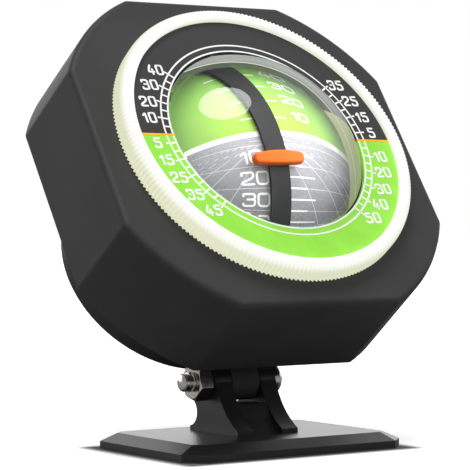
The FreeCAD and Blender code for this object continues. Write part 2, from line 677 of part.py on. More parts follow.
def makeSealing():
    half = "sealHalf - sealBulge"
    low = f"-{bowlTop} - sealHigh"
    turnedPiece("capsule_seal", "dial", [
        (f"sealRadius - ({half})", low),
        (f"sealRadius + {half}", low, "round", "sealRadius + sealHalf", f"{low} + sealHigh / 2"),
        (f"sealRadius + {half}", f"-{bowlTop}"),
        (f"sealRadius - ({half})", f"-{bowlTop}", "round", "sealRadius - sealHalf", f"{low} + sealHigh / 2"),
    ])
    clamp = bodyOf("clamp_ring")
    sketch = sketchOn(clamp, "clampOutline", "XZ_Plane")
    drawBox(sketch, "clampBore", "-flangeTop", "flangeRadius", "-flangeTop + clampHigh")
    turned(clamp, sketch)
    hole = sketchOn(clamp, "clampRingHole", height="-flangeTop + clampHigh")
    drawCircle(hole, "clampScrewRadius", "0", "clampScrewCircle")
    spun(clamp, pocket(clamp, hole, "clampHigh"), 6)
    placed(clamp, "clamp_ring", "dial")
    turns = range(90, 450, 60)
    places = [(f"clampScrewCircle * cos({turn})", f"clampScrewCircle * sin({turn})") for turn in turns]
    screwGroup("clamp_screws", "-flangeTop + clampHigh", 1, places, "clampHeadRadius", "clampHeadHigh",
               "clampCrown", "clampScrewRadius", "clampScrewLong", "clampSlot")


def makeFiller():
    face = "-(bowlRadius + bowlWall + plugSeat)"
    tip = "-bowlRadius - bowlWall / 4"
    body = bodyOf("filler_plug")
    sketch = sketchOn(body, "fillerOutline", "XZ_Plane")
    drawLoop(sketch, [
        ("0", f"{face} - plugHigh"), ("plugFlange", f"{face} - plugHigh"), ("plugFlange", face),
        ("plugRadius - closeFit", face), ("plugRadius - closeFit", tip), ("0", tip),
    ])
    turned(body, sketch)
    slot = sketchOn(body, "fillerSlot", height=f"{face} - plugHigh")
    drawBox(slot, "-plugFlange - overrun", "-plugSlot / 2", "plugFlange + overrun", "plugSlot / 2")
    pocket(body, slot, "plugHigh / 2", backwards=True)
    placed(body, "filler_plug", "ball", "90 - faceTilt + plugTurn")


def makeBush():
    outer = "bushRadius - closeFit"
    turnedPiece("spindle_bush", "ball", [
        ("spindleRadius + spindleFit", "-bushDeep"), ("spindleRadius + spindleFit", "-bushDeep - bushLong"),
        (outer, "-bushDeep - bushLong"), (outer, "-bushDeep")])
    turnedPiece("bush_cap", "ball", [
        ("0", "-bossDeep - capHigh"), ("bossRadius", "-bossDeep - capHigh"), ("bossRadius", "-bossDeep"),
        (outer, "-bossDeep"), (outer, "-bossDeep + capSpigot"), ("0", "-bossDeep + capSpigot")])


# Gimbal


def halfHoop(body, name, inner, outer, side):
    """Half a hoop round the ball in the upright plane, from one face of the gimbal ring."""
    sketch = sketchOn(body, name, "YZ_Plane")
    edge = f"{side} * ringHalf"
    drawLoop(sketch, [
        (f"sqrt(({outer})^2 - ringHalf^2)", edge, "round", "0", f"{side} * ({outer})"),
        (f"-sqrt(({outer})^2 - ringHalf^2)", edge),
        (f"-sqrt(({inner})^2 - ringHalf^2)", edge, "round", "0", f"{side} * ({inner})"),
        (f"sqrt(({inner})^2 - ringHalf^2)", edge),
    ])
    return sketch


def makeGimbal():
    ring = bodyOf("gimbal_ring")
    sketch = sketchOn(ring, "ringOutline", "XZ_Plane")
    drawBox(sketch, "gimbalBore", "-ringHalf", "ringOuter", "ringHalf")
    turned(ring, sketch)
    hole = sketchOn(ring, "pitchHole", "YZ_Plane")
    drawCircle(hole, "pitchBushRadius")
    pocket(ring, hole, "2 * (ringOuter + overrun)", middle=True)
    placed(ring, "gimbal_ring", "ball")

    yoke = bodyOf("gimbal_yoke")
    arms = halfHoop(yoke, "yokeOutline", "gimbalBore", "gimbalBore + armThick", "-1")
    pad(yoke, arms, "armWide", middle=True)
    hub = sketchOn(yoke, "hubOutline", height="-hubBack")
    drawCircle(hub, "hubRadius")
    pad(yoke, hub, "hubBack - gimbalBore")
    bore = sketchOn(yoke, "hubBore", height="-gimbalBore + overrun")
    drawCircle(bore, "spindleRadius + closeFit")
    pocket(yoke, bore, "hubBack - gimbalBore + 2 * overrun")
    placed(yoke, "gimbal_yoke", "ball")

    band = bodyOf("meridian_band")
    strip = halfHoop(band, "bandOutline", "gimbalBore", "gimbalBore + bandThick", "1")
    pad(band, strip, "bandWide", middle=True)
    placed(band, "meridian_band", "ball")

    # the spindle is fast in the hub, and its shoulder and clip hold it at the bush
    bushBack = "bushDeep + bushLong"
    turnedPiece("roll_spindle", "ball", [
        ("0", "-spindleEnd"), ("spindleRadius", "-spindleEnd"),
        ("spindleRadius", "-bushDeep + endPlay"), ("shoulderRadius", "-bushDeep + endPlay"),
        ("shoulderRadius", "-hubBack"), ("spindleRadius", "-hubBack"),
        ("spindleRadius", "-gimbalBore"), ("0", "-gimbalBore")])
    clip = bodyOf("spindle_clip")
    hoop = sketchOn(clip, "clipOutline", height=f"-({bushBack}) - endPlay - clipThick")
    drawCircle(hoop, "clipRadius")
    drawCircle(hoop, "spindleRadius + closeFit")
    pad(clip, hoop, "clipThick")
    gap = sketchOn(clip, "clipGapOutline", height=f"-({bushBack}) - endPlay")
    drawBox(gap, "-clipGap / 2", "0", "clipGap / 2", "clipRadius + overrun")
    pocket(clip, gap, "clipThick")
    placed(clip, "spindle_clip", "ball")


def makePointer():
    """A bar bent round the ball, widest at its middle, standing on a small foot on the band."""
    inner = "(gimbalBore + bandThick + pointerLift)"
    outer = "(gimbalBore + bandThick + pointerLift + pointerThick)"
    body = bodyOf("pointer")
    sketch = sketchOn(body, "pointerOutline", "YZ_Plane")
    drawBox(sketch, "-pointerHigh / 2 - overrun", inner, "pointerHigh / 2 + overrun", outer)
    bar = body.newObject("PartDesign::Revolution", "Revolution")
    bar.Profile = sketch
    bar.ReferenceAxis = (sketch, ["H_Axis"])
    bar.Midplane = True
    bind(bar, Angle=f"2 * asin((pointerHalf + overrun) / {outer})")
    settle(bar)
    # from the front it narrows to round ends
    plan = sketchOn(body, "pointerPlan", height=f"{outer} + overrun")
    drawBox(plan, f"-{outer}", f"-{outer}", outer, outer)
    endX = "(pointerHalf - pointerBulge)"
    drawLoop(plan, [
        (f"-{endX}", "-pointerTip / 2", "round", "0", "-pointerHigh / 2"),
        (endX, "-pointerTip / 2", "round", "pointerHalf", "0"),
        (endX, "pointerTip / 2", "round", "0", "pointerHigh / 2"),
        (f"-{endX}", "pointerTip / 2", "round", "-pointerHalf", "0"),
    ])
    pocket(body, plan, f"{outer}")
    rounded(body, "pointerEnd", upright)
    rounded(body, "pointerRound", lambda edge: edge.BoundBox.ZMin > value(inner))
    foot = sketchOn(body, "pointerFoot", height="gimbalBore + bandThick")
    drawBox(foot, "-bandWide / 2", "-pointerHigh / 4", "bandWide / 2", "pointerHigh / 4")
    pad(body, foot, "pointerLift + pointerThick / 2")
    placed(body, "pointer", "ball", "90 - faceTilt + pointerDrop")


def makePitchBushes():
    bushes = []
    outer = "pitchBushRadius - closeFit"
    bore = "axleRadius + axleFit"
    for side in (1, -1):
        body = bodyOf(f"pitch_bush{side}")
        sketch = sketchOn(body, f"pitchBushOutline{side}", "XY_Plane")
        start = f"{side} * pitchBushStart"
        floor = f"{side} * (ringOuter - pitchBushFloor)"
        end = f"{side} * ringOuter"
        mouth = [(start, bore), (start, outer)]
        drawLoop(sketch, [*mouth, (end, outer), (end, "0"), (floor, "0"), (floor, bore)])
        turned(body, sketch, "H_Axis")
        bushes.append(body)
    grouped("pitch_bushes", bushes, "ball")


# Ball


def shellBody(label, near, side):
    """Part of the ball's shell, from a level out to its pole, with room for the axle."""
    inner = "(ballRadius - ballWall)"
    body = bodyOf(label)
    sketch = sketchOn(body, label + "Outline")
    half = "sqrt(0.5)"
    drawLoop(sketch, [
        (f"sqrt(ballRadius^2 - ({near})^2)", near, "round",
         f"ballRadius * {half}", f"{side} * ballRadius * {half}"),
        ("0", f"{side} * ballRadius"),
        ("0", f"{side} * {inner}", "round", f"{inner} * {half}", f"{side} * {inner} * {half}"),
        (f"sqrt({inner}^2 - ({near})^2)", near),
    ])
    turned(body, sketch)
    return body


def axleHole(body):
    sketch = sketchOn(body, body.Name + "AxleHole", "YZ_Plane")
    drawCircle(sketch, "axleRadius + closeFit")
    pocket(body, sketch, "2 * (ballRadius + overrun)", middle=True)


def makeBall():
    top = "horizonRise + horizonWide / 2"
    bottom = "horizonRise - horizonWide / 2"
    placed(shellBody("ball_upper_shell", top, 1), "ball_upper_shell", "ball")
    lower = shellBody("ball_lower_shell", bottom, -1)
    axleHole(lower)
    placed(lower, "ball_lower_shell", "ball")
    band = bodyOf("horizon_band")
    sketch = sketchOn(band, "horizonOutline")
    drawLoop(sketch, [
        ("ballRadius - horizonDeep", bottom),
        (f"sqrt(ballRadius^2 - ({bottom})^2)", bottom, "round",
         "sqrt(ballRadius^2 - horizonRise^2)", "horizonRise"),
        (f"sqrt(ballRadius^2 - ({top})^2)", top),
        ("ballRadius - horizonDeep", top),
    ])
    turned(band, sketch)
    axleHole(band)
    placed(band, "horizon_band", "ball")

    axle = bodyOf("pitch_axle")
    sketch = sketchOn(axle, "axleOutline")
    end = "ringOuter - pitchBushFloor - axleEnd"
    drawLoop(sketch, [(f"-({end})", "0"), (end, "0"), (end, "axleRadius"), (f"-({end})", "axleRadius")])
    turned(axle, sketch, "H_Axis")
    placed(axle, "pitch_axle", "ball")

    # the weight hangs straight below the axle, so it keeps the foot's own axes
    curve = "(ballRadius - ballWall - closeFit)"
    weight = bodyOf("ballast_weight")
    sketch = sketchOn(weight, "weightOutline", "XZ_Plane")
    drawLoop(sketch, [
        ("0", f"-{curve}", "round", "ballastRadius / 2", f"-sqrt({curve}^2 - (ballastRadius / 2)^2)"),
        ("ballastRadius", f"-sqrt({curve}^2 - ballastRadius^2)"),
        ("ballastRadius", f"-{curve} + ballastThick"), ("0", f"-{curve} + ballastThick")])
    turned(weight, sketch)
    placed(weight, "ballast_weight", "ball", "0")


doc.recompute()
makeBracket()
makePad()
makeBolt()
makeNut()
makeHood()
makeRear()
makeCaseScrews()
makeBezel()
makeDome()
makeSealing()
makeBowl()
makeFiller()
makeBush()
makeGimbal()
makePointer()
makePitchBushes()
makeBall()
doc.recompute()

for item in doc.Objects:
    if "Invalid" in item.State or "Error" in item.State:
        raise RuntimeError(f"{item.Label}: {item.State}")
os.makedirs("parts", exist_ok=True)
for piece in pieces:
    shape = piece.Shape
    if shape.isNull() or not shape.isValid():
        raise RuntimeError(f"{piece.Label} has no valid shape")
    shape.exportStep(f"parts/{piece.Label}.step")
    print(f"{piece.Label}: {len(shape.Solids)} solid(s), {shape.Volume / 1000:.2f} cm3")
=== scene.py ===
import json
import math

import bmesh
import bpy
import numpy as np
from mathutils import Matrix, Vector


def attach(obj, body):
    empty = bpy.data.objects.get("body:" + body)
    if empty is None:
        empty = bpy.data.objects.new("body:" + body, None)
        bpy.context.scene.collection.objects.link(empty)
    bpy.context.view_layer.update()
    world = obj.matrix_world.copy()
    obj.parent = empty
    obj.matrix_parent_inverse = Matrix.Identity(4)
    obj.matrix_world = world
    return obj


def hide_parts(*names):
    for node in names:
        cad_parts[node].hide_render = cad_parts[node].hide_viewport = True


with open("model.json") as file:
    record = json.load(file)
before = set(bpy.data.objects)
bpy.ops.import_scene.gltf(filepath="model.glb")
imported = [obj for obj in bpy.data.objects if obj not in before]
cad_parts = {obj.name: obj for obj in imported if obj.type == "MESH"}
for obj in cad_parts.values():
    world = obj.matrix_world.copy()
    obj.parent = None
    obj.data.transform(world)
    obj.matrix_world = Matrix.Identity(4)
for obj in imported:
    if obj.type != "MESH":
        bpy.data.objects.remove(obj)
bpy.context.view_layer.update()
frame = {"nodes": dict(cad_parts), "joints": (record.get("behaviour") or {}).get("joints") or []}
scene = bpy.context.scene
scene.view_settings.view_transform = "Standard"
mm = 0.001
ballRadius = 21.3
glassIndex = 1.46

# the housing's own axes: across the dial, up the dial and out of it
joints = {joint["name"]: joint for joint in frame["joints"]}
across = Vector((1, 0, 0))
outward = Vector(joints["bezel_turn"]["axis"]).normalized()
upDial = outward.cross(across)
turnDial = Matrix((across, upDial, outward)).transposed().to_4x4()
dialPlace = Matrix.Translation(joints["bezel_turn"]["pos_m"]) @ turnDial
ballPlace = Matrix.Translation(joints["ball_pitch"]["pos_m"]) @ turnDial
hinge = Vector(joints["housing_tilt"]["pos_m"])
print("frame loaded:", len(frame["nodes"]), "nodes")


class Wire:
    # a node's output, which sums on it turn into Math nodes
    def __init__(self, graph, socket):
        self.graph, self.socket = graph, socket

    def __add__(self, other):
        return self.graph.maths("ADD", self, other)

    def __sub__(self, other):
        return self.graph.maths("SUBTRACT", self, other)

    def __rsub__(self, other):
        return self.graph.maths("SUBTRACT", other, self)

    def __mul__(self, other):
        return self.graph.maths("MULTIPLY", self, other)

    def __truediv__(self, other):
        return self.graph.maths("DIVIDE", self, other)

    def __gt__(self, other):
        return self.graph.maths("GREATER_THAN", self, other)

    def __lt__(self, other):
        return self.graph.maths("LESS_THAN", self, other)

    __radd__, __rmul__ = __add__, __mul__


class Graph:
    # a shader or geometry tree
    def __init__(self, tree):
        self.tree = tree

    def add(self, kind, settings=None, inputs=None):
        node = self.tree.nodes.new(kind)
        for key, entry in (settings or {}).items():
            setattr(node, key, entry)
        for key, entry in (inputs or {}).items():
            if isinstance(entry, Wire):
                self.tree.links.new(entry.socket, node.inputs[key])
            else:
                node.inputs[key].default_value = entry
        return [Wire(self, socket) for socket in node.outputs]

    def maths(self, operation, *operands):
        return self.add("ShaderNodeMath", {"operation": operation}, dict(enumerate(operands)))[0]

    def vector(self, operation, *operands, output=0):
        settings = {"operation": operation}
        return self.add("ShaderNodeVectorMath", settings, dict(enumerate(operands)))[output]

    def mix(self, factor, first, second):
        settings = {"data_type": "RGBA", "clamp_factor": True}
        return self.add("ShaderNodeMix", settings, {0: factor, 6: first, 7: second})[2]

    def step(self, wire, low, high, start=0.0, end=1.0):
        # smooth change from start to end between two values
        settings = {"interpolation_type": "SMOOTHSTEP"}
        return self.add("ShaderNodeMapRange", settings, {0: wire, 1: low, 2: high, 3: start, 4: end})[0]


def shaded(colour, share):
    # a colour made darker or lighter
    return [level * share for level in colour[:3]] + [1]


def rgb(red, green, blue):
    # the colour as a paint program shows it
    def linear(level):
        level /= 255
        return level / 12.92 if level <= 0.04045 else ((level + 0.055) / 1.055) ** 2.4
    return (linear(red), linear(green), linear(blue), 1)


class Finish(Graph):
    # a material with one Principled shader and the coordinates that its patterns read
    def __init__(self, name, place=None):
        self.material = bpy.data.materials.new(name)
        self.material.use_nodes = True
        super().__init__(self.material.node_tree)
        self.tree.nodes.clear()
        coordinates = self.add("ShaderNodeTexCoord")[3]
        if place is not None:
            # the dial's or the ball's own axes, in metres
            turn = place.to_3x3().transposed()
            back = -(turn @ place.translation)
            settings = {"vector_type": "POINT"}
            values = {"Location": back, "Rotation": turn.to_euler()}
            coordinates = self.add("ShaderNodeMapping", settings, {0: coordinates, **values})[0]
        self.where = coordinates
        self.x, self.y, self.z = self.add("ShaderNodeSeparateXYZ", None, {0: self.where})

    def noise(self, size, detail=3, roughness=0.5, distortion=0.0):
        # size is one lump's in millimetres
        values = {"Vector": self.where, "Scale": 1 / (size * mm), "Detail": detail,
                  "Roughness": roughness, "Distortion": distortion}
        return self.add("ShaderNodeTexNoise", None, values)[0]

    def specks(self, cell, radius, share):
        # a small dot in some of the cells
        values = {"Vector": self.where, "Scale": 1 / (cell * mm)}
        distance, colour = self.add("ShaderNodeTexVoronoi", None, values)[:2]
        chosen = self.add("ShaderNodeSeparateColor", None, {0: colour})[0] < share
        return chosen * (distance < radius / cell)

    def bump(self, height, depth):
        # depth is in millimetres
        values = {"Height": height, "Distance": depth * mm, "Strength": 1.0}
        return self.add("ShaderNodeBump", None, values)[0]

    def shade(self, values, extra=None):
        shader = self.add("ShaderNodeBsdfPrincipled", None, values)[0]
        if extra is not None:
            shader = extra(shader)
        self.add("ShaderNodeOutputMaterial", None, {0: shader})
        return self.material


def treeFor(name, inputs):
    # a geometry tree with named inputs, and where its input wires come from
    tree = bpy.data.node_groups.new(name, "GeometryNodeTree")
    for label, kind, start in inputs:
        socket = tree.interface.new_socket(name=label, in_out="INPUT", socket_type="NodeSocket" + kind)
        if start is not None:
            socket.default_value = start
    tree.interface.new_socket(name="Geometry", in_out="OUTPUT", socket_type="NodeSocketGeometry")
    graph = Graph(tree)
    wires = dict(zip([label for label, kind, start in inputs], graph.add("NodeGroupInput")))
    return graph, wires


def closeTree(graph, geometry, material):
    solid = graph.add("GeometryNodeRealizeInstances", None, {0: geometry})[0]
    painted = graph.add("GeometryNodeSetMaterial", None, {"Geometry": solid, "Material": material})[0]
    graph.add("NodeGroupOutput", None, {0: painted})


def settle(piece, body, place=None, smooth=None):
    # put the place into the mesh, shade it and hang it on its body
    if place is not None:
        piece.data.transform(place)
    if smooth is not None:
        piece.data.shade_smooth()
        piece.data.set_sharp_from_angle(angle=math.radians(smooth))
    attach(piece, body)
    return piece


def meshPiece(name, vertices, faces, material):
    mesh = bpy.data.meshes.new(name)
    mesh.from_pydata([tuple(v) for v in vertices], [], faces)
    mesh.update()
    mesh.materials.append(material)
    piece = bpy.data.objects.new(name, mesh)
    scene.collection.objects.link(piece)
    return piece


def grown(name, start, tree, settings):
    # run a geometry tree on a mesh and keep what it makes as a plain mesh
    holder = bpy.data.objects.new(name, start)
    scene.collection.objects.link(holder)
    modifier = holder.modifiers.new(name, "NODES")
    modifier.node_group = tree
    given = [item for item in tree.interface.items_tree if item.in_out == "INPUT"]
    sockets = {item.name: item.identifier for item in given}
    for label, entry in settings.items():
        modifier[sockets[label]] = entry
    mesh = bpy.data.meshes.new_from_object(holder.evaluated_get(bpy.context.evaluated_depsgraph_get()))
    bpy.data.objects.remove(holder)
    mesh.name = name
    piece = bpy.data.objects.new(name, mesh)
    scene.collection.objects.link(piece)
    return piece


def faceOutwards(piece):
    shape = bmesh.new()
    shape.from_mesh(piece.data)
    bmesh.ops.recalc_face_normals(shape, faces=shape.faces)
    shape.to_mesh(piece.data)
    shape.free()


def turnedMesh(outline, steps):
    # vertices and faces of an outline of (radius, height) turned about Z, poles closed
    vertices, rings = [], []
    for radius, height in outline:
        if radius < 1e-9:
            rings.append([len(vertices)] * steps)
            vertices.append((0, 0, height))
            continue
        rings.append(list(range(len(vertices), len(vertices) + steps)))
        for step in range(steps):
            angle = math.tau * step / steps
            vertices.append((radius * math.cos(angle), radius * math.sin(angle), height))
    faces = []
    for upper, lower in zip(rings, rings[1:]):
        for step in range(steps):
            face = [upper[step], lower[step], lower[(step + 1) % steps], upper[(step + 1) % steps]]
            face = list(dict.fromkeys(face))
            if len(face) > 2:
                faces.append(face)
    return vertices, faces


def arcOf(centreR, centreZ, radius, start, end, steps):
    angles = [math.radians(start + (end - start) * step / steps) for step in range(steps + 1)]
    return [(centreR + radius * math.cos(a), centreZ + radius * math.sin(a)) for a in angles]


def softened(path, radius, steps=4):
    # round the corners of a path of points
    if len(path) < 3:
        return path
    made = [path[0]]
    for before, corner, after in zip(path, path[1:], path[2:]):
        corner, before, after = Vector(corner), Vector(before), Vector(after)
        reach = min(radius, (before - corner).length / 2, (after - corner).length / 2)
        start = corner + (before - corner).normalized() * reach
        end = corner + (after - corner).normalized() * reach
        for step in range(steps + 1):
            t = step / steps
            made.append(tuple((1 - t) ** 2 * start + 2 * t * (1 - t) * corner + t * t * end))
    return made + [path[-1]]


def divided(path, longest):
    # more points on a path's long stretches, so that it follows a round surface
    made = [path[0]]
    for start, end in zip(path, path[1:]):
        count = max(1, math.ceil(math.dist(start, end) / longest))
        made += [tuple(Vector(start).lerp(Vector(end), step / count)) for step in range(1, count + 1)]
    return made


def strip(path, width, place, sunk, proud, closed=False):
    # a printed line as a low closed bar along a flat path, with round ends
    points = [Vector(point) for point in path]
    count = len(points)
    stations = []
    for index, point in enumerate(points):
        before = points[index - 1] if index or closed else point
        after = points[(index + 1) % count] if index < count - 1 or closed else point
        first, second = (point - before), (after - point)
        first = first.normalized() if first.length else second.normalized()
        second = second.normalized() if second.length else first
        along = (first + second).normalized()
        stretch = 1 / max(0.6, along.dot(second))
        stations.append((point, along, stretch * width / 2))
    if not closed:
        # how far out each station of an end lies, in shares of the half width
        caps = [(share, math.sqrt(1 - share ** 2)) for share in (0.97, 0.75, 0.45)]
        point, along, half = stations[0]
        start = [(point - along * half * share, along, half * thin) for share, thin in caps]
        point, along, half = stations[-1]
        end = [(point + along * half * share, along, half * thin) for share, thin in caps]
        stations = start + stations + end[::-1]
    vertices, faces = [], []
    for point, along, half in stations:
        side = Vector((-along.y, along.x)) * half
        left, right = point + side, point - side
        for corner, lift in ((left, proud), (right, proud), (right, sunk), (left, sunk)):
            vertices.append(place(corner.x, corner.y, lift))
    total = len(stations)
    for index in range(total if closed else total - 1):
        here, there = 4 * index, 4 * ((index + 1) % total)
        for edge in range(4):
            nextEdge = (edge + 1) % 4
            faces.append((here + edge, here + nextEdge, there + nextEdge, there + edge))
    if not closed:
        faces.append((3, 2, 1, 0))
        last = 4 * (total - 1)
        faces.append((last, last + 1, last + 2, last + 3))
    return vertices, faces


def printed(name, strips, material):
    vertices, faces = [], []
    for stripVertices, stripFaces in strips:
        first = len(vertices)
        vertices.extend(stripVertices)
        faces.extend(tuple(first + index for index in face) for face in stripFaces)
    return meshPiece(name, vertices, faces, material)


# middle lines of the digits, in shares of their width and height
digitShares = {
    "0": [[(0.5, 1), (0, 1), (0, 0), (1, 0), (1, 1), (0.5, 1)]],
    "1": [[(0, 0.74), (0.9, 1), (0.9, 0)]],
    "2": [[(0, 0.76), (0, 1), (1, 1), (1, 0.58), (0, 0.16), (0, 0), (1, 0)]],
    "3": [[(0, 0.82), (0, 1), (1, 1), (1, 0.54), (0.35, 0.54)],
          [(0.6, 0.54), (1, 0.54), (1, 0), (0, 0), (0, 0.18)]],
    "4": [[(0.52, 1), (0, 0.26), (1.05, 0.26)], [(0.76, 0.56), (0.76, 0)]],
    "5": [[(0.96, 1), (0.08, 1)], [(0.08, 1), (0.03, 0.6), (1, 0.6), (1, 0), (0, 0), (0, 0.16)]],
}
narrowShares = {"1": 0.44}


def numeral(text, sizes, place, sunk, proud):
    # strips of a number whose middle is at the place's zero
    widths = [sizes["digitWide"] * narrowShares.get(digit, 1) for digit in text]
    left = -(sum(widths) + sizes["digitGap"] * (len(text) - 1)) / 2
    made = []
    for digit, wide in zip(text, widths):
        for path in digitShares[digit]:
            points = [(left + x * wide, (y - 0.5) * sizes["digitHigh"]) for x, y in path]
            rounded = divided(softened(points, sizes["digitRound"]), 0.8)
            made.append(strip(rounded, sizes["stroke"], place, sunk, proud))
        left += wide + sizes["digitGap"]
    return made


def mouldedPlastic(name, colour, grain, roughness, specular, dust=True):
    look = Finish(name)
    cloud = look.noise(14, 4)
    fine = look.noise(grain["size"], 5, 0.6)
    base = look.mix(look.step(cloud, 0.3, 0.7), shaded(colour, 0.93), shaded(colour, 1.07))
    if dust:
        specks = look.specks(9, 0.11, 0.3)
        base = look.mix(specks * 0.55, base, rgb(170, 172, 178))
    normal = look.bump(fine, grain["depth"])
    uneven = look.step(fine, 0.25, 0.75, roughness - 0.05, roughness + 0.05)
    values = {"Base Color": base, "Roughness": uneven, "Specular IOR Level": specular, "Normal": normal}
    return look.shade(values)


def polishedMetal(name, colour, roughness):
    look = Finish(name)
    brushed = look.noise(1.1, 6, 0.7, 0.4)
    fine = look.noise(0.25, 2)
    base = look.mix(look.step(brushed, 0.25, 0.8), shaded(colour, 0.82), colour)
    values = {"Base Color": base, "Metallic": 1.0,
              "Roughness": look.step(brushed, 0.2, 0.8, roughness * 0.7, roughness * 1.3),
              "Normal": look.bump(fine, 0.002)}
    return look.shade(values)


def softRubber(name, colour, size):
    look = Finish(name)
    pores = look.noise(size, 4, 0.6)
    base = look.mix(look.step(pores, 0.3, 0.7), shaded(colour, 0.8), colour)
    values = {"Base Color": base, "Roughness": 0.8, "Normal": look.bump(pores, 0.05)}
    return look.shade(values)


# what lies in the liquid mirrors hardly any light
wetSpecular = 0.06
case = {"colour": rgb(52, 52, 53), "grain": {"size": 0.22, "depth": 0.012},
        "roughness": 0.6, "specular": 0.25}
foot = {"colour": rgb(26, 26, 27), "grain": {"size": 0.16, "depth": 0.010},
        "roughness": 0.34, "specular": 0.5}
inner = {"colour": rgb(30, 30, 32), "grain": {"size": 0.3, "depth": 0.008},
         "roughness": 0.5, "specular": 0.4}
band = {"colour": rgb(44, 44, 46), "grain": {"size": 0.3, "depth": 0.004},
        "roughness": 0.4, "specular": wetSpecular}
casePlastic = mouldedPlastic("casePlastic", **case)
footPlastic = mouldedPlastic("footPlastic", **foot)
innerPlastic = mouldedPlastic("innerPlastic", dust=False, **inner)
bandPlastic = mouldedPlastic("bandPlastic", dust=False, **band)
nickelSteel = polishedMetal("nickelSteel", rgb(232, 228, 220), 0.2)
springSteel = polishedMetal("springSteel", rgb(176, 178, 182), 0.3)
turnedBrass = polishedMetal("turnedBrass", rgb(212, 178, 96), 0.28)
paleFoam = softRubber("paleFoam", rgb(206, 206, 202), 0.5)
sealRubber = softRubber("sealRubber", rgb(34, 34, 36), 0.3)


def luminousPlastic():
    # pale plastic with a painted glow: white on top, yellow-green down its wall, partly its tint and
    # partly painted shade
    look = Finish("luminousPlastic", dialPlace)
    wallTintAndShade = look.step(look.z, 1.3 * mm, -0.4 * mm)
    cloud = look.noise(9, 3)
    fine = look.noise(0.3, 3)
    top = look.mix(look.step(cloud, 0.3, 0.7), rgb(92, 93, 88), rgb(97, 98, 92))
    base = look.mix(wallTintAndShade * 0.8, top, rgb(88, 91, 74))
    # painted glow standing in for light: near white on top, duller yellow-green on the wall as painted
    # shade
    glow = look.mix(wallTintAndShade, rgb(255, 255, 251), rgb(228, 231, 202))
    values = {"Base Color": base, "Roughness": look.step(fine, 0.2, 0.8, 0.36, 0.46),
              "Emission Color": glow, "Emission Strength": 0.88,
              "Specular IOR Level": 0.4, "Normal": look.bump(fine, 0.004)}
    return look.shade(values)


dialTurn = math.radians(-0.7)   # how far the turning dial stands from level in the photograph


def dialPrint():
    # black upper half and green lower half, split by the horizon
    look = Finish("dialPrint", dialPlace)
    height = look.y * math.cos(dialTurn) - look.x * math.sin(dialTurn)
    upper = height > 0
    fine = look.noise(0.35, 4, 0.6)
    cloud = look.noise(6, 3)
    green = look.mix(look.step(cloud, 0.3, 0.7), rgb(144, 222, 62), rgb(150, 230, 70))
    base = look.mix(upper, green, rgb(42, 40, 42))
    values = {"Base Color": look.mix(fine * 0.06, base, rgb(120, 120, 120)),
              "Roughness": look.step(fine, 0.2, 0.8, 0.42, 0.54),
              "Specular IOR Level": 0.35, "Normal": look.bump(fine, 0.003)}
    return look.shade(values)


def whiteInk(name, colour, speckle):
    look = Finish(name)
    fine = look.noise(0.2, 3)
    base = look.mix(look.step(fine, 0.3, 0.7), shaded(colour, 1 - speckle), colour)
    return look.shade({"Base Color": base, "Roughness": 0.45, "Specular IOR Level": 0.3})


def ballGreen():
    # painted light and reflection: yellow-green at the front near the horizon, paler towards the top and
    # round the sides
    look = Finish("ballGreen", ballPlace)
    side = look.maths("ABSOLUTE", look.x) / (ballRadius * mm)
    rise = look.y / (ballRadius * mm)
    fine = look.noise(0.25, 4, 0.6)
    # painted reflection: paler and bluer towards the top
    paintedFrontTone = look.mix(look.step(rise, 0.0, 0.75), rgb(148, 190, 62), rgb(138, 194, 92))
    # painted light: the sides turn paler
    base = look.mix(look.step(side, 0.25, 0.95), paintedFrontTone, rgb(130, 182, 100))
    values = {"Base Color": look.mix(fine * 0.14, base, rgb(210, 235, 190)), "Roughness": 0.4,
              "Specular IOR Level": wetSpecular, "Normal": look.bump(fine, 0.003)}
    return look.shade(values)


def ballGrey():
    # speckled grey print, with painted shade making it darker towards the bottom
    look = Finish("ballGrey", ballPlace)
    dots = look.noise(0.16, 2, 0.9)
    rise = look.y / (ballRadius * mm)
    # painted shade: the grey darkens towards the bottom
    greyPaintedShade = look.mix(look.step(rise, -0.9, 0.0), rgb(120, 120, 126), rgb(164, 164, 170))
    darker, lighter = look.mix(0.28, greyPaintedShade, rgb(60, 60, 66)), look.mix(0.22, greyPaintedShade, rgb(230, 230, 236))
    base = look.mix(look.step(dots, 0.42, 0.6), darker, lighter)
    values = {"Base Color": base, "Roughness": 0.4, "Specular IOR Level": wetSpecular,
              "Normal": look.bump(dots, 0.002)}
    return look.shade(values)


def plainPaint(name, colour, size, roughness):
    look = Finish(name)
    fine = look.noise(size, 3)
    base = look.mix(look.step(fine, 0.25, 0.75), shaded(colour, 0.92), colour)
    uneven = look.step(fine, 0.2, 0.8, roughness - 0.05, roughness + 0.05)
    values = {"Base Color": base, "Roughness": uneven, "Specular IOR Level": 0.08,
              "Normal": look.bump(fine, 0.006)}
    return look.shade(values)


# where the painted reflection on the dome's far edge lies, by slant
rim = {"start": 0.56, "lineAt": 0.67, "lineWide": 0.016, "end": 0.97, "share": 0.7}


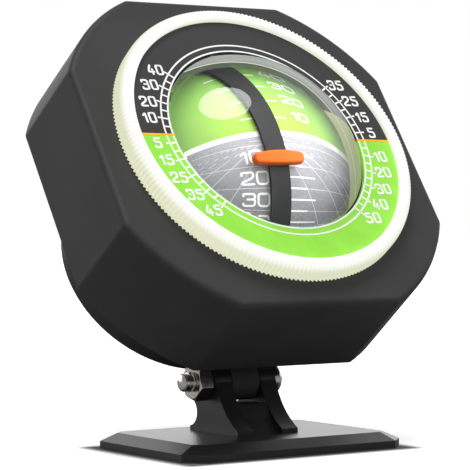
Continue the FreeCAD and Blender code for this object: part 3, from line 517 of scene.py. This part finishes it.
def clearLens():
    look = Finish("clearLens", dialPlace)
    haze = look.noise(20, 2)
    slant = look.add("ShaderNodeLayerWeight", None, {"Blend": 0.5})[1]

    def rimAndLamps(shader):
        # painted reflection: the dome's far edge is painted pale, with a bright line, where its wall
        # mirrors the dial
        r = rim
        within = look.step(slant, r["start"], r["start"] + 0.02)
        within = within * look.step(slant, r["end"] + 0.03, r["end"])
        paintedBrightLine = look.step(look.maths("ABSOLUTE", slant - r["lineAt"]), r["lineWide"], 0.0)
        # colours of the painted reflection: paler to the right and on the lower half
        deep = look.mix(look.step(look.x, 4 * mm, 20 * mm), rgb(92, 102, 86), rgb(150, 160, 136))
        outer = look.mix(look.step(slant, r["lineAt"], r["lineAt"] + 0.03), deep, rgb(166, 172, 168))
        outer = look.mix(look.y < 0, outer, rgb(216, 224, 178))
        colour = look.mix(paintedBrightLine, outer, rgb(226, 226, 208))
        dull = {"Base Color": colour, "Roughness": 1.0, "Specular IOR Level": 0.0}
        paintedRimReflection = look.add("ShaderNodeBsdfPrincipled", None, dull)[0]
        share = within * (r["share"] + 0.2 * paintedBrightLine)
        shader = look.add("ShaderNodeMixShader", None, {0: share, 1: shader, 2: paintedRimReflection})[0]
        # lamps shine dimmed straight through to the ball
        shadowRay = look.add("ShaderNodeLightPath")[1]
        clear = look.add("ShaderNodeBsdfTransparent", None, {"Color": (0.05, 0.05, 0.05, 1)})[0]
        return look.add("ShaderNodeMixShader", None, {0: shadowRay, 1: shader, 2: clear})[0]

    values = {"Base Color": rgb(255, 255, 255), "Roughness": look.step(haze, 0.2, 0.8, 0.0, 0.012),
              "IOR": glassIndex, "Transmission Weight": 1.0}
    return look.shade(values, rimAndLamps)


ringPaintedGlow = luminousPlastic()
dialFace = dialPrint()
printWhite = whiteInk("printWhite", rgb(248, 248, 246), 0.06)
printYellow = whiteInk("printYellow", rgb(255, 186, 20), 0.05)
gridWhite = whiteInk("gridWhite", rgb(214, 214, 222), 0.15)
pointerOrange = plainPaint("pointerOrange", rgb(248, 106, 30), 0.4, 0.4)
horizonWhite = plainPaint("horizonWhite", rgb(244, 246, 240), 0.4, 0.45)
upperGreen = ballGreen()
lowerGrey = ballGrey()
lensClear = clearLens()
nodeMaterials = {
    casePlastic: ["front_hood", "rear_housing"],
    footPlastic: ["base_bracket"],
    paleFoam: ["adhesive_pad"],
    nickelSteel: ["pivot_nut", "pivot_bolt", "case_screws", "clamp_screws", "spindle_clip"],
    springSteel: ["wave_ring", "roll_spindle", "pitch_axle"],
    ringPaintedGlow: ["bezel_ring"],
    dialFace: ["dial_ring"],
    lensClear: ["clear_dome"],
    sealRubber: ["capsule_seal"],
    innerPlastic: ["capsule_bowl", "clamp_ring", "bush_cap", "gimbal_ring", "gimbal_yoke"],
    bandPlastic: ["meridian_band"],
    turnedBrass: ["filler_plug", "spindle_bush", "pitch_bushes", "ballast_weight"],
    pointerOrange: ["pointer"],
    upperGreen: ["ball_upper_shell"],
    lowerGrey: ["ball_lower_shell"],
    horizonWhite: ["horizon_band"],
}
for material, names in nodeMaterials.items():
    for name in names:
        slots = frame["nodes"][name].data.materials
        if not slots:
            slots.append(material)
        for index in range(len(slots)):
            slots[index] = material
print("materials made:", len(nodeMaterials))


# the dome and the liquid behind it are one clear solid
lens = {"base": 24.5, "apex": 12.0, "drop": 0.5, "edge": 0.35, "skirtLow": 9.2, "flange": 31.4,
        "flangeLow": 10.8, "bowl": 23.8, "ballDeep": 24.4, "steps": 128}


def makeLens():
    sag = lens["apex"] + lens["drop"]
    curve = (lens["base"] ** 2 + sag ** 2) / (2 * sag)
    middle = lens["apex"] - curve
    stop = math.degrees(math.acos((lens["base"] - lens["edge"] * 0.5) / curve))
    outline = [(0, lens["apex"])] + arcOf(0, middle, curve, 90, stop, 40)[1:]
    outline += [(lens["base"], -lens["drop"] - lens["edge"]), (lens["base"], -lens["skirtLow"])]
    outline += [(lens["flange"], -lens["skirtLow"]), (lens["flange"], -lens["flangeLow"])]
    outline += [(lens["bowl"], -lens["flangeLow"])]
    outline += arcOf(0, -lens["ballDeep"], lens["bowl"], 0, -90, 24)[:-1]
    outline += [(0, -lens["ballDeep"] - lens["bowl"])]
    vertices, faces = turnedMesh([(r * mm, z * mm) for r, z in outline], lens["steps"])
    piece = meshPiece("clearCapsule", vertices, faces, lensClear)
    settle(piece, "housing", dialPlace, 8)
    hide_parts("clear_dome")


makeLens()
print("capsule made")


# the turning bezel, in millimetres from the dial's middle
bezel = {"radius": 37.19, "bore": 33.9, "low": -3.3, "round": 2.3, "rise": 1.7, "lip": 1.2, "seat": -1.0,
         "skirtBore": 32.2, "skirtLow": -8.4, "skirtOut": 34.94,
         "snapOut": 35.9, "snapLow": -7.95, "snapTop": -6.5,
         "teeth": 220, "toothDepth": 0.55, "toothIn": 2.4, "toothFade": 0.7, "toothTop": -0.7}


def knurlTree():
    # sweep the ring's outline round a circle and press grooves into its outer wall
    graph, given = treeFor("knurledRing", [
        ("Outline", "Geometry", None), ("Radius", "Float", 0.034), ("Teeth", "Int", 220),
        ("Depth", "Float", 0.0003), ("Wall", "Float", 0.0362), ("Fade", "Float", 0.0007),
        ("Top", "Float", 0.0), ("Material", "Material", None)])
    steps = graph.maths("MULTIPLY", given["Teeth"], 4)
    sizes = {"Resolution": steps, "Radius": given["Radius"]}
    circle = graph.add("GeometryNodeCurvePrimitiveCircle", {"mode": "RADIUS"}, sizes)[0]
    profile = graph.add("GeometryNodeMeshToCurve", None, {0: given["Outline"]})[0]
    ring = graph.add("GeometryNodeCurveToMesh", None, {"Curve": circle, "Profile Curve": profile})[0]
    position = graph.add("GeometryNodeInputPosition")[0]
    x, y, z = graph.add("ShaderNodeSeparateXYZ", None, {0: position})
    angle = graph.maths("ARCTAN2", y, x)
    wave = 0.5 - 0.5 * graph.maths("COSINE", angle * given["Teeth"])
    radius = graph.maths("SQRT", x * x + y * y)
    onWall = graph.step(radius, given["Wall"], given["Wall"] + given["Fade"]) * (z < given["Top"])
    scale = 1 - wave * onWall * given["Depth"] / radius
    moved = graph.add("ShaderNodeCombineXYZ", None, {0: x * scale, 1: y * scale, 2: z})[0]
    ring = graph.add("GeometryNodeSetPosition", None, {"Geometry": ring, "Position": moved})[0]
    closeTree(graph, ring, given["Material"])
    return graph.tree


def makeBezel():
    b = bezel
    rounding = arcOf(b["radius"] - b["round"], b["rise"] - b["round"], b["round"], 0, 90, 8)
    outline = [(b["radius"], b["low"]), (b["radius"], b["toothTop"])] + rounding
    outline += [(b["bore"], b["lip"]), (b["bore"], b["seat"]), (b["skirtBore"], b["seat"])]
    outline += [(b["skirtBore"], b["skirtLow"]), (b["skirtOut"], b["skirtLow"])]
    outline += [(b["snapOut"], b["snapLow"]), (b["snapOut"], b["snapTop"])]
    outline += [(b["skirtOut"], b["snapTop"]), (b["skirtOut"], b["low"])]
    middle = (b["radius"] + b["bore"]) / 2
    flat = [((r - middle) * mm, -z * mm, 0) for r, z in outline]
    mesh = bpy.data.meshes.new("bezelOutline")
    mesh.from_pydata(flat, [(i, (i + 1) % len(flat)) for i in range(len(flat))], [])
    piece = grown("glowBezel", mesh, knurlTree(), {
        "Radius": middle * mm, "Teeth": b["teeth"], "Depth": b["toothDepth"] * mm,
        "Wall": (b["radius"] - b["toothIn"]) * mm, "Fade": b["toothFade"] * mm, "Top": b["rise"] * mm,
        "Material": ringPaintedGlow})
    faceOutwards(piece)
    low = min(v.co.z for v in piece.data.vertices) / mm
    wide = max(math.hypot(v.co.x, v.co.y) for v in piece.data.vertices) / mm
    print("bezel: lowest", round(low, 3), "widest", round(wide, 3), "faces", len(piece.data.polygons))
    settle(piece, "bezel", dialPlace, 35)
    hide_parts("bezel_ring")


makeBezel()


# the roll scale on the dial
scale = {"innerLine": 25.15, "outerLine": 26.85, "lineWide": 0.4, "rungWide": 0.42, "tickReach": 27.9,
         "labelRadius": 29.95, "labelPull": 2.1, "pullFrom": 20,
         "horizonIn": 25.0, "horizonOut": 33.8, "horizonWide": 0.55, "digitHigh": 2.5,
         "digitWide": 1.45, "digitGap": 0.85, "digitRound": 0.5, "stroke": 0.5,
         "sunk": -0.02, "proud": 0.03}
dialValues = {
    "leftTop": [10, 20, 30, 40], "leftLow": [5, 15, 25, 35, 45],
    "rightTop": [5, 15, 25, 35], "rightLow": [10, 20, 30, 40, 50],
}


def dialAngle(side, value):
    # the scale's values run up and down from the horizon on either side
    up = value if side.endswith("Top") else -value
    degrees = 180 - up if side.startswith("left") else up
    return math.radians(degrees) + dialTurn


def dialFlat(x, y, lift):
    return Vector((x * mm, y * mm, lift * mm))


def spokeTree():
    # one low bar on each point, from its inner to its outer radius
    graph, given = treeFor("spokes", [
        ("Points", "Geometry", None), ("Width", "Float", 0.0003), ("Sunk", "Float", 0.0),
        ("Proud", "Float", 0.0), ("Material", "Material", None)])
    def named(label):
        return graph.add("GeometryNodeInputNamedAttribute", {"data_type": "FLOAT"}, {"Name": label})[0]
    turn = graph.add("ShaderNodeCombineXYZ", None, {2: named("turn")})[0]
    lengths = {0: named("reach"), 1: given["Width"], 2: given["Proud"] - given["Sunk"]}
    size = graph.add("ShaderNodeCombineXYZ", None, lengths)[0]
    bar = graph.add("GeometryNodeMeshCube", None, {"Size": (1, 1, 1)})[0]
    turned = graph.add("FunctionNodeEulerToRotation", None, {0: turn})[0]
    bars = graph.add("GeometryNodeInstanceOnPoints", None,
                     {"Points": given["Points"], "Instance": bar, "Rotation": turned, "Scale": size})[0]
    closeTree(graph, bars, given["Material"])
    return graph.tree


def spokePoints(name, spokes, lift):
    # each spoke is (angle, inner, outer) in radians and millimetres
    mesh = bpy.data.meshes.new(name)
    places = [(math.cos(a) * (inner + outer) / 2 * mm, math.sin(a) * (inner + outer) / 2 * mm, lift * mm)
              for a, inner, outer in spokes]
    mesh.from_pydata(places, [], [])
    turn = mesh.attributes.new("turn", "FLOAT", "POINT")
    reach = mesh.attributes.new("reach", "FLOAT", "POINT")
    turn.data.foreach_set("value", [a for a, inner, outer in spokes])
    reach.data.foreach_set("value", [(outer - inner) * mm for a, inner, outer in spokes])
    return mesh


def makeRollScale():
    s = scale
    spokes = []
    for side in dialValues:
        for value in range(5, dialValues[side][-1] + 1, 5):
            reach = s["tickReach"] if value in dialValues[side] else s["outerLine"]
            spokes.append((dialAngle(side, value), s["innerLine"], reach))
    middle = (s["sunk"] + s["proud"]) / 2
    rungs = grown("rollRungs", spokePoints("rungPoints", spokes, middle), spokeTree(), {
        "Width": s["rungWide"] * mm, "Sunk": s["sunk"] * mm, "Proud": s["proud"] * mm,
        "Material": printWhite})
    settle(rungs, "bezel", dialPlace)
    strips = []
    for radius in (s["innerLine"], s["outerLine"]):
        angles = [math.tau * i / 180 for i in range(180)]
        circle = [(radius * math.cos(a), radius * math.sin(a)) for a in angles]
        strips.append(strip(circle, s["lineWide"], dialFlat, s["sunk"], s["proud"], closed=True))
    for side, values in dialValues.items():
        for value in values:
            pull = s["labelPull"] * min(1, value / s["pullFrom"])
            angle = dialAngle(side, value - pull)
            middleX, middleY = s["labelRadius"] * math.cos(angle), s["labelRadius"] * math.sin(angle)
            strips += numeral(str(value), s, lambda x, y, lift: dialFlat(middleX + x, middleY + y, lift),
                              s["sunk"], s["proud"])
    settle(printed("rollFigures", strips, printWhite), "bezel", dialPlace)
    lines = []
    for side in (1, -1):
        turn = Vector((math.cos(dialTurn), math.sin(dialTurn))) * side
        path = [tuple(turn * s["horizonIn"]), tuple(turn * s["horizonOut"])]
        lines.append(strip(path, s["horizonWide"], dialFlat, s["sunk"], s["proud"] + 0.02))
    settle(printed("horizonMarks", lines, printYellow), "bezel", dialPlace)


makeRollScale()
print("roll scale made")


# the pitch scale and the ground lines on the ball
pitch = {"radius": ballRadius, "sunk": -0.02, "proud": 0.03, "share": 1.165, "lowStart": 1.3,
         "tickWide": 0.3, "gridWide": 0.13, "lowTicks": (0.5, 6.4, 8.4), "highTicks": (2.4, 4.7),
         "highShift": 0.3, "groundSpacing": 0.78, "groundShift": -0.1}
lowDigits = {"middle": -4.75, "rise": -0.4, "digitHigh": 2.35, "digitWide": 2.2, "digitGap": 0.7,
             "digitRound": 0.75, "stroke": 0.42}
highDigits = {"middle": 8.6, "rise": 2.9, "digitHigh": 1.8, "digitWide": 1.75, "digitGap": 0.62,
              "digitRound": 0.6, "stroke": 0.34}


def onBall(along, slope, lift):
    # millimetres across the ball, degrees up from its level front and millimetres above its surface
    turn, rise = math.asin(along / pitch["radius"]), math.radians(slope)
    level = math.cos(turn)
    direction = Vector((math.sin(turn), level * math.sin(rise), level * math.cos(rise)))
    return direction * (pitch["radius"] + lift) * mm


def slopeOf(value):
    # where the print has a value: the scale is a little wider than true, and low values start lower
    return pitch["share"] * value + (pitch["lowStart"] if value < 0 else 0)


def ballPatch(middle, slope):
    # flat millimetres round a point of the ball
    across = pitch["radius"] * math.sqrt(1 - (middle / pitch["radius"]) ** 2)
    def place(x, y, lift):
        return onBall(middle + x, slope + math.degrees(y / across), lift)
    return place


def ballLine(points, width, steps):
    # a line through (along, slope) points, laid flat as millimetres before it goes on the ball
    degree = math.radians(1) * pitch["radius"]
    path = []
    for (alongA, slopeA), (alongB, slopeB) in zip(points, points[1:]):
        for i in range(steps):
            slope = slopeA + (slopeB - slopeA) * i / steps
            path.append((alongA + (alongB - alongA) * i / steps, slope * degree))
    path.append((points[-1][0], points[-1][1] * degree))
    def place(x, y, lift):
        return onBall(x, y / degree, lift)
    return strip(path, width, place, pitch["sunk"], pitch["proud"])


def makeBallScale():
    p = pitch
    strips = []
    for value in range(10, 50, 10):
        low, high = lowDigits, highDigits
        below = ballPatch(low["middle"], slopeOf(-value) + low["rise"])
        above = ballPatch(high["middle"], slopeOf(value) + high["rise"])
        strips += numeral(str(value), low, below, p["sunk"], p["proud"])
        strips += numeral(str(value), high, above, p["sunk"], p["proud"])
    for value in range(5, 50, 5):
        whole = value % 10 == 0
        start, short, far = p["lowTicks"]
        slope = slopeOf(-value)
        strips.append(ballLine([(start, slope), (far if whole else short, slope)], p["tickWide"], 10))
        reach = p["highTicks"][whole]
        slope = slopeOf(value)
        ends = [(p["highShift"] - reach, slope), (p["highShift"] + reach, slope)]
        strips.append(ballLine(ends, p["tickWide"] * 0.8, 12))
    settle(printed("ballFigures", strips, printWhite), "ball", ballPlace)
    # a level ground of square fields, as seen from the ball's middle
    lines = []
    for value in range(5, 55, 10):
        slope = slopeOf(-value)
        lines.append(ballLine([(-19.5, slope), (19.5, slope)], p["gridWide"], 32))
    for number in range(-7, 8):
        lane = p["groundSpacing"] * number + p["groundShift"]
        points = []
        for slope in np.linspace(-2, -52, 16):
            reach = math.atan(lane * math.sin(math.radians(-slope)))
            points.append((p["radius"] * math.sin(reach), slope))
        lines.append(ballLine(points, p["gridWide"], 1))
    settle(printed("groundLines", lines, gridWhite), "ball", ballPlace)


makeBallScale()
print("ball scale made")


# the pivot bolt's thread, in millimetres from the hinge's middle
bolt = {"nutFace": -12.05, "tip": -14.85, "coreRadius": 2.0, "radius": 2.43, "pitch": 0.8,
        "flank": 0.32, "crest": 0.1}


def threadTree():
    graph, given = treeFor("thread", [
        ("Profile", "Geometry", None), ("Turns", "Float", 4.0), ("Radius", "Float", 0.0016),
        ("Length", "Float", 0.003), ("Material", "Material", None)])
    helix = graph.add("GeometryNodeCurveSpiral", None, {
        "Resolution": 40, "Rotations": given["Turns"], "Start Radius": given["Radius"],
        "End Radius": given["Radius"], "Height": given["Length"]})[0]
    profile = graph.add("GeometryNodeMeshToCurve", None, {0: given["Profile"]})[0]
    swept = {"Curve": helix, "Profile Curve": profile, "Fill Caps": True}
    ridge = graph.add("GeometryNodeCurveToMesh", None, swept)[0]
    closeTree(graph, ridge, given["Material"])
    return graph.tree


def makeBolt():
    b = bolt
    shape = bmesh.new()
    shape.from_mesh(frame["nodes"]["pivot_bolt"].data)
    bmesh.ops.remove_doubles(shape, verts=shape.verts, dist=1e-7)
    # keep the head and the shank as far as the nut's outer face
    whole = shape.verts[:] + shape.edges[:] + shape.faces[:]
    cut = bmesh.ops.bisect_plane(shape, geom=whole, dist=1e-7, plane_co=(b["nutFace"] * mm, 0, 0),
                                 plane_no=(1, 0, 0), clear_inner=True)
    openEdge = [item for item in cut["geom_cut"] if isinstance(item, bmesh.types.BMEdge)]
    bmesh.ops.edgeloop_fill(shape, edges=openEdge)
    # the thread's core, its end rounded off
    outline = [(0, b["tip"]), (b["coreRadius"] - 0.35, b["tip"]), (b["coreRadius"], b["tip"] + 0.3)]
    outline += [(b["coreRadius"], b["nutFace"] + 0.2), (0, b["nutFace"] + 0.2)]
    vertices, faces = turnedMesh([(r * mm, x * mm) for r, x in outline], 48)
    core = [shape.verts.new((z + hinge.x, y + hinge.y, x + hinge.z)) for x, y, z in vertices]
    made = [shape.faces.new([core[index] for index in face]) for face in faces]
    bmesh.ops.recalc_face_normals(shape, faces=made)
    mesh = bpy.data.meshes.new("pivotBoltCore")
    shape.to_mesh(mesh)
    shape.free()
    mesh.materials.clear()
    mesh.materials.append(nickelSteel)
    piece = bpy.data.objects.new("pivotBoltBody", mesh)
    scene.collection.objects.link(piece)
    settle(piece, "bracket", smooth=30)
    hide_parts("pivot_bolt")
    rise = b["radius"] - b["coreRadius"]
    points = [(-0.1, -b["flank"]), (-0.1, b["flank"]), (rise, b["crest"]), (rise, -b["crest"])]
    profile = bpy.data.meshes.new("threadProfile")
    profile.from_pydata([(x * mm, y * mm, 0) for x, y in points], [(0, 1), (1, 2), (2, 3), (3, 0)], [])
    length = b["nutFace"] - b["tip"] - 0.7
    thread = grown("boltThread", profile, threadTree(), {
        "Turns": length / b["pitch"], "Radius": b["coreRadius"] * mm, "Length": length * mm,
        "Material": nickelSteel})
    across90 = Matrix.Rotation(math.radians(90), 4, "Y")
    place = Matrix.Translation(hinge + Vector(((b["nutFace"] - length) * mm, 0, 0))) @ across90
    faceOutwards(thread)
    settle(thread, "bracket", place, 30)
    reach = [(v.co - hinge) for v in thread.data.vertices]
    print("thread: radius", round(max(math.hypot(v.y, v.z) for v in reach) / mm, 3),
          "x", round(min(v.x for v in reach) / mm, 2), round(max(v.x for v in reach) / mm, 2))


makeBolt()
print("bolt made")


# the floor and the room's light by direction
# contactReach and contactShare size the painted contact shadow round the foot
studio = {"floorSize": 6.0, "floorShown": rgb(236, 236, 236), "floorMet": rgb(150, 150, 150),
          "floorGlow": 0.6, "footX": 29.5, "footY": 22.2, "contactReach": 4.5, "contactShare": 0.95,
          "ambient": 0.40, "fill": 0.55, "fillWay": (-0.5, -0.866, 0.0),
          "within": 0.6, "withinSide": 10.5, "withinWay": (0.8, -0.15, 0.58),
          "gloss": 0.3, "backdrop": 1.6, "backdropWay": (0.15, 0.985, 0.08),
          "side": 1.2, "sideWay": (0.86, 0.05, 0.5)}


def makeFloor():
    # white where the camera looks at it, duller for the light that it throws back
    s = studio
    half = s["floorSize"] / 2
    look = Finish("studioFloor")
    cameraRay = look.add("ShaderNodeLightPath")[0]
    colour = look.mix(cameraRay, s["floorMet"], s["floorShown"])
    # painted contact shadow: the floor's colour and its own white darken under the foot's edge, and its
    # own white grows far out, where no lamp reaches
    beyondX = look.maths("MAXIMUM", look.maths("ABSOLUTE", look.x) - s["footX"] * mm, 0.0)
    beyondY = look.maths("MAXIMUM", look.maths("ABSOLUTE", look.y) - s["footY"] * mm, 0.0)
    away = look.maths("SQRT", beyondX * beyondX + beyondY * beyondY)
    paintedContactShadow = look.step(away, 0.0, s["contactReach"] * mm, 1 - s["contactShare"], 1)
    far = look.step(away, 0.15, 1.0, s["floorGlow"], 1.0)
    # painted contact shadow: darker floor colour close to the foot
    colour = look.mix(paintedContactShadow, rgb(90, 90, 90), colour)
    plain = look.add("ShaderNodeBsdfDiffuse", None, {"Color": colour})[0]
    shine = {"Color": (1, 1, 1, 1), "Strength": cameraRay * paintedContactShadow * far}
    glow = look.add("ShaderNodeEmission", None, shine)[0]
    both = look.add("ShaderNodeAddShader", None, {0: plain, 1: glow})[0]
    look.add("ShaderNodeOutputMaterial", None, {0: both})
    corners = [(-half, -half, 0), (half, -half, 0), (half, half, 0), (-half, half, 0)]
    floor = meshPiece("studioFloor", corners, [(0, 1, 2, 3)], look.material)


def makeWorld():
    # white to the eye, an even dim room for the light, and a lit backdrop in what shines
    world = bpy.data.worlds.new("studioWorld")
    scene.world = world
    world.use_nodes = True
    world.node_tree.nodes.clear()
    graph = Graph(world.node_tree)
    s = studio
    rays = graph.add("ShaderNodeLightPath")
    way = graph.add("ShaderNodeTexCoord")[0]
    rise = graph.add("ShaderNodeSeparateXYZ", None, {0: way})[2]
    behind = graph.vector("DOT_PRODUCT", way, s["backdropWay"], output=1)
    beside = graph.vector("DOT_PRODUCT", way, s["sideWay"], output=1)
    backdrop = graph.step(behind, 0.5, 0.8) * graph.step(rise, 0.6, 0.35)
    gloss = s["gloss"] + s["backdrop"] * backdrop + s["side"] * graph.step(beside, 0.75, 0.97)
    filled = graph.vector("DOT_PRODUCT", way, s["fillWay"], output=1)
    ambient = s["ambient"] + s["fill"] * graph.step(filled, 0.0, 1.0)
    # camera rays, rays that went into the capsule, mirrored rays, all others
    within = rays[6] * (1 - rays[0])
    mirrored = rays[3] * (1 - rays[6])
    others = 1 - rays[0] - within - mirrored
    inward = graph.vector("DOT_PRODUCT", way, s["withinWay"], output=1)
    inside = s["within"] + s["withinSide"] * graph.step(inward, 0.45, 1.0)
    strength = rays[0] + within * inside + mirrored * gloss + others * ambient
    sky = graph.add("ShaderNodeBackground", None, {"Color": (1, 1, 1, 1), "Strength": strength})[0]
    graph.add("ShaderNodeOutputWorld", None, {0: sky})


# each lamp's way from the object, how far off it stands, how wide it is and its watts
lamps = {
    "keyLamp": {"way": (-0.216, -0.169, 0.962), "far": 0.9, "wide": 0.58, "power": 7.0},
}


def addLamp(name, way, far, wide, power):
    lamp = bpy.data.lights.new(name, "AREA")
    lamp.shape = "DISK"
    lamp.size = wide
    lamp.energy = power
    aim = Vector((0, 0, 0.07))
    holder = bpy.data.objects.new(name, lamp)
    holder.location = aim + Vector(way).normalized() * far
    holder.rotation_euler = Vector(way).to_track_quat("Z", "Y").to_euler()
    scene.collection.objects.link(holder)


photo = {"place": (-264.63, -402.35, 52.65), "yaw": 32.971, "pitch": -0.424, "roll": -0.430,
         "focal": 2088.4, "picture": 470, "sensor": 36.0}


def makeCamera():
    yaw, tilt, roll = (math.radians(photo[key]) for key in ("yaw", "pitch", "roll"))
    ahead = Vector((math.sin(yaw) * math.cos(tilt), math.cos(yaw) * math.cos(tilt), math.sin(tilt)))
    level = Vector((math.cos(yaw), -math.sin(yaw), 0))
    above = level.cross(ahead)
    right = math.cos(roll) * level + math.sin(roll) * above
    above = math.cos(roll) * above - math.sin(roll) * level
    camera = bpy.data.cameras.new("photoCamera")
    camera.sensor_width = photo["sensor"]
    camera.lens = photo["focal"] * photo["sensor"] / photo["picture"]
    camera.clip_start, camera.clip_end = 0.01, 20
    holder = bpy.data.objects.new("photoCamera", camera)
    turn = Matrix((right, above, -ahead)).transposed().to_4x4()
    holder.matrix_world = Matrix.Translation(Vector(photo["place"]) * mm) @ turn
    scene.collection.objects.link(holder)
    scene.camera = holder


makeFloor()
makeWorld()
for lampName, lamp in lamps.items():
    addLamp(lampName, **lamp)
makeCamera()
print("studio made")
